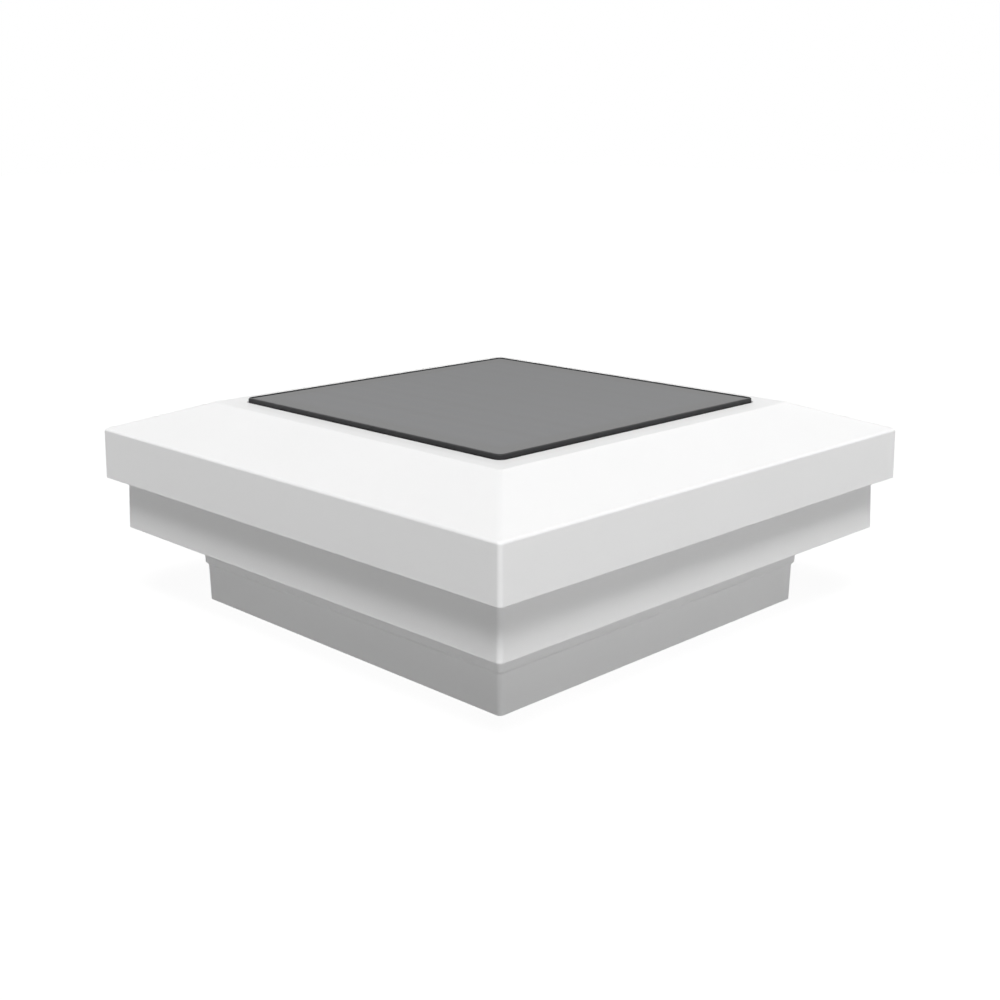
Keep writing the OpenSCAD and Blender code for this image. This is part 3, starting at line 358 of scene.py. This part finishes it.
# The pane lies a little below a black lip that runs round it
WINDOW_CORNER = 2.2 * MM              # radius of the upright corners
CORNER_STEPS = 6
LIP_WIDTH = 0.9 * MM
LIP_HEIGHT = 0.2 * MM
LIP_OUTER_EDGE = 0.5 * MM             # roundings of the lip's top
LIP_INNER_EDGE = 0.15 * MM
EDGE_STEPS = 4
PANE_GAP = 0.02 * MM


def rounded_square(half, corner, height):
    """Points round the upright axis, anticlockwise from above."""
    points = []
    for quarter, (x, y) in enumerate(((1, 1), (-1, 1), (-1, -1), (1, -1))):
        for step in range(CORNER_STEPS + 1):
            angle = math.pi / 2 * (quarter + step / CORNER_STEPS)
            points.append((x * (half - corner) + corner * math.cos(angle),
                           y * (half - corner) + corner * math.sin(angle), height))
    return points


def quarter_turn(centre, radius, start):
    """Points of an outline that turn a quarter anticlockwise about a centre (half width, height)."""
    angles = [start + math.pi / 2 * step / EDGE_STEPS for step in range(EDGE_STEPS + 1)]
    return [(centre[0] + radius * math.cos(a), centre[1] + radius * math.sin(a)) for a in angles]


def square_loft(name, outline, outer, closed):
    """A square slab, or a closed frame, through an outline of (half width, height) from its outer foot."""
    mesh = bmesh.new()
    rings = []
    for half, height in outline:
        corner = WINDOW_CORNER - outer + half
        rings.append([mesh.verts.new(point) for point in rounded_square(half, corner, height)])
    for low, high in zip(rings, rings[1:] + rings[:1] if closed else rings[1:]):
        for i, j in zip(range(len(low)), [*range(1, len(low)), 0]):
            mesh.faces.new((low[i], low[j], high[j], high[i]))
    if not closed:
        mesh.faces.new(rings[0][::-1])
        mesh.faces.new(rings[-1])
    data = bpy.data.meshes.new(name)
    mesh.to_mesh(data)
    mesh.free()
    piece = bpy.data.objects.new(name, data)
    scene.collection.objects.link(piece)
    return piece


def make_window(materials):
    """The pane and its lip, in the place of the CAD's plain slab."""
    low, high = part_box("panel_window")
    outer = high.x
    foot = low.z
    top = high.z
    inner = outer - LIP_WIDTH
    lip = [(outer, foot)]
    lip += quarter_turn((outer - LIP_OUTER_EDGE, top - LIP_OUTER_EDGE), LIP_OUTER_EDGE, 0)
    lip += quarter_turn((inner + LIP_INNER_EDGE, top - LIP_INNER_EDGE), LIP_INNER_EDGE, math.pi / 2)
    lip.append((inner, foot))
    pane = [(inner - PANE_GAP, foot), (inner - PANE_GAP, top - LIP_HEIGHT)]
    made = [(square_loft("window_lip", lip, outer, True), "black_plastic"),
            (square_loft("window_pane", pane, outer, False), "window_slab")]
    for piece, slot in made:
        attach(piece, "light_body")
        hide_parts("panel_window")
        piece.data.materials.append(materials[slot])
    return [piece for piece, _ in made]


# ---- Rounded edges ----

EDGE_RADIUS = 0.12 * MM
EDGE_SEGMENTS = 2
EDGE_ANGLE = math.radians(32)         # an edge that turns further is rounded
SHARP_ANGLE = math.radians(50)        # an edge that turns further after that is shaded sharp
WELD_DISTANCE = 0.002 * MM


def welding(name):
    """A modifier's group and tree, and the tree's mesh with its packed normals dropped and corners joined."""
    group = bpy.data.node_groups.new(name, "GeometryNodeTree")
    for in_out in ("INPUT", "OUTPUT"):
        group.interface.new_socket("Geometry", in_out=in_out, socket_type="NodeSocketGeometry")
    tree = Tree(group)
    start = tree.node("NodeGroupInput").outputs[0]
    bare = tree.node("GeometryNodeRemoveAttribute", Geometry=start, Name="custom_normal").outputs[0]
    welded = tree.node("GeometryNodeMergeByDistance", Geometry=bare, Distance=WELD_DISTANCE).outputs[0]
    return group, tree, welded


def welding_group():
    """For before the rounding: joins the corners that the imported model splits."""
    group, tree, welded = welding("welding")
    tree.node("NodeGroupOutput", _0=welded)
    return group


def smoothing_group():
    """For after the rounding: clears faces without area, and shades smooth all but the sharp edges."""
    group, tree, welded = welding("smoothing")
    smooth = tree.node("GeometryNodeSetShadeSmooth", {"domain": "FACE"}, Geometry=welded).outputs[0]
    angle = tree.node("GeometryNodeInputMeshEdgeAngle").outputs[0]
    sharp = tree.math("GREATER_THAN", angle, SHARP_ANGLE)
    creased = tree.node("GeometryNodeSetShadeSmooth", {"domain": "EDGE"}, Geometry=smooth, Selection=sharp)
    creased.inputs["Shade Smooth"].default_value = False
    tree.node("NodeGroupOutput", _0=creased.outputs[0])
    return group


def round_edges(piece, weld, smooth):
    """Rounds a piece's sharp edges and shades it."""
    piece.modifiers.new("weld", "NODES").node_group = weld
    bevel = piece.modifiers.new("bevel", "BEVEL")
    bevel.width = EDGE_RADIUS
    bevel.segments = EDGE_SEGMENTS
    bevel.limit_method = "ANGLE"
    bevel.angle_limit = EDGE_ANGLE
    piece.modifiers.new("smooth", "NODES").node_group = smooth
    weighted = piece.modifiers.new("weighted", "WEIGHTED_NORMAL")
    weighted.keep_sharp = True


# ---- Studio ----

# A soft key light high over the camera
KEY_ELEVATION = math.radians(64)
KEY_AZIMUTH = math.radians(318)
KEY_FOCUS = 70.0
KEY_STRENGTH = 32.2

# Two level bands of light: one all round that swells to the camera's right, and one behind the part.
# Each has its elevation, the azimuth that it swells to, how strongly it swells, and its strength all round.
BAND_FOCUS = 60.0
FRONT_BAND = (math.radians(0), math.radians(332), 3.2, 1.2)
BACK_BAND = (math.radians(3), math.radians(120), 2.6, 0.0)

FLOOR_SIZE = 8.0
FLOOR_GLOW = 0.09
SHADOW_SHARE = 0.12

# What mirror rays see of the sky: pale, and greyer towards the horizon
SKY_LOW = math.sin(math.radians(7))
SKY_HIGH = math.sin(math.radians(15.5))
SKY_GREY = 0.42

WHITE = (1, 1, 1, 1)


def ray_seen(tree):
    """1 for rays that see the studio itself: camera, mirror and glass rays."""
    path = tree.node("ShaderNodeLightPath").outputs
    either = tree.math("MAXIMUM", path["Is Camera Ray"], path["Is Glossy Ray"])
    return tree.math("MAXIMUM", either, path["Is Transmission Ray"])


def aimed(elevation, azimuth):
    """The direction at an elevation and an azimuth."""
    level = math.cos(elevation)
    return Vector((level * math.cos(azimuth), level * math.sin(azimuth), math.sin(elevation)))


def along(tree, direction, axis):
    """Cosine of the angle between a ray and an axis."""
    product = tree.node("ShaderNodeVectorMath", {"operation": "DOT_PRODUCT"}, _0=direction, _1=axis)
    return product.outputs["Value"]


def band_light(tree, direction, height, elevation, azimuth, swell, all_round):
    """A level band of light that swells towards an azimuth."""
    off = tree.math("SUBTRACT", height, math.sin(elevation))
    level = tree.math("SUBTRACT", 1.0, tree.math("MULTIPLY", off, off))
    band = tree.math("POWER", level, BAND_FOCUS / 2)
    towards = tree.math("MAXIMUM", along(tree, direction, aimed(0, azimuth)), 0.0)
    strength = tree.math("ADD", tree.math("MULTIPLY", towards, swell), all_round)
    return tree.math("MULTIPLY", band, strength)


def make_world():
    """Soft light for the part, and a pale sky for rays that see it."""
    world = bpy.data.worlds.new("studio")
    scene.world = world
    world.use_nodes = True
    world.node_tree.nodes.clear()
    tree = Tree(world.node_tree)
    direction = tree.node("ShaderNodeTexCoord").outputs["Generated"]
    height = tree.node("ShaderNodeSeparateXYZ", Vector=direction).outputs[2]
    to_key = tree.math("MAXIMUM", along(tree, direction, aimed(KEY_ELEVATION, KEY_AZIMUTH)), 0.0)
    key = tree.math("MULTIPLY", tree.math("POWER", to_key, KEY_FOCUS), KEY_STRENGTH)
    front = band_light(tree, direction, height, *FRONT_BAND)
    back = band_light(tree, direction, height, *BACK_BAND)
    bands = tree.math("ADD", front, back)
    light = tree.node("ShaderNodeBackground", Color=WHITE, Strength=tree.math("ADD", key, bands))
    pale = tree.node("ShaderNodeMapRange", Value=height, _1=SKY_LOW, _2=SKY_HIGH, _3=SKY_GREY, _4=1.0)
    mirrored = tree.node("ShaderNodeLightPath").outputs["Is Glossy Ray"]
    strength = tree.node("ShaderNodeMix", _0=mirrored, _2=1.0, _3=pale.outputs[0]).outputs[0]
    sky = tree.node("ShaderNodeBackground", Color=WHITE, Strength=strength)
    mixed = tree.node("ShaderNodeMixShader", _0=ray_seen(tree), _1=light.outputs[0], _2=sky.outputs[0])
    tree.node("ShaderNodeOutputWorld", Surface=mixed.outputs[0])


def make_floor():
    """A floor that looks white but for the part's soft shadow, and that is clear from underneath."""
    half = FLOOR_SIZE / 2
    corners = [(-half, -half, 0), (half, -half, 0), (half, half, 0), (-half, half, 0)]
    mesh = bpy.data.meshes.new("floor")
    mesh.from_pydata(corners, [], [(0, 1, 2, 3)])
    floor = bpy.data.objects.new("floor", mesh)
    scene.collection.objects.link(floor)
    material = bpy.data.materials.new("floor")
    material.use_nodes = True
    material.node_tree.nodes.clear()
    tree = Tree(material.node_tree)
    glow = tree.node("ShaderNodeEmission", Strength=FLOOR_GLOW)
    white = tree.node("ShaderNodeEmission", Strength=1 - SHADOW_SHARE / 2)
    shadow = tree.node("ShaderNodeBsdfDiffuse", Color=(SHADOW_SHARE, SHADOW_SHARE, SHADOW_SHARE, 1))
    seen = tree.node("ShaderNodeAddShader", _0=white.outputs[0], _1=shadow.outputs[0])
    top = tree.node("ShaderNodeMixShader", _0=ray_seen(tree), _1=glow.outputs[0], _2=seen.outputs[0])
    clear = tree.node("ShaderNodeBsdfTransparent")
    under = tree.node("ShaderNodeNewGeometry").outputs["Backfacing"]
    both = tree.node("ShaderNodeMixShader", _0=under, _1=top.outputs[0], _2=clear.outputs[0])
    tree.node("ShaderNodeOutputMaterial", Surface=both.outputs[0])
    mesh.materials.append(material)


# ---- The whole scene ----

make_camera()
make_world()
make_floor()
window = make_window(paint_nodes())
weld = welding_group()
smooth = smoothing_group()
for piece in [*nodes.values(), *window]:
    round_edges(piece, weld, smooth)

scene.view_settings.view_transform = "Standard"
